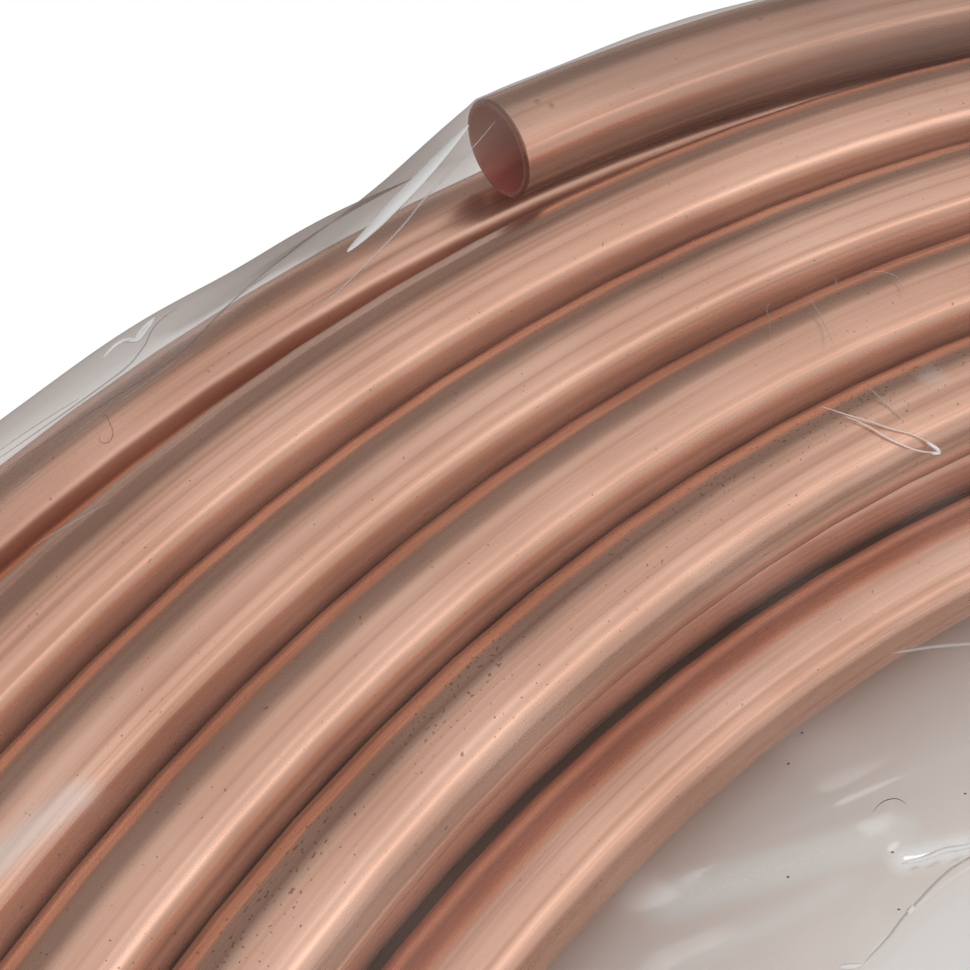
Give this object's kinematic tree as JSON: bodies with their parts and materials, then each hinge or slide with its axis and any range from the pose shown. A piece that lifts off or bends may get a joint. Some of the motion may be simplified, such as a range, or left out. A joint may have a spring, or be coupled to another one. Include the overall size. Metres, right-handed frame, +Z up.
{
  "type": "copper tube coil",
  "caption": "Coil of soft copper tube wound flat in two layers, one open end lying loose on top, wrapped all round in clear film.",
  "frame": {"origin": "on the floor, at the middle of the coil's bore", "axes": "+Z up along the coil's axis; the loose open end of the tube points anticlockwise at 56 degrees from +X"},
  "size_m": [0.5611, 0.5612, 0.0284],
  "materials": {
    "copper": "bright drawn copper, satin, with faint drawing lines",
    "clear_film": "clear hazy polythene film, wrinkled"
  },
  "bodies": {
    "root": {"copper_tube": "copper", "film_wrap": "clear_film"}
  },
  "joints": []
}
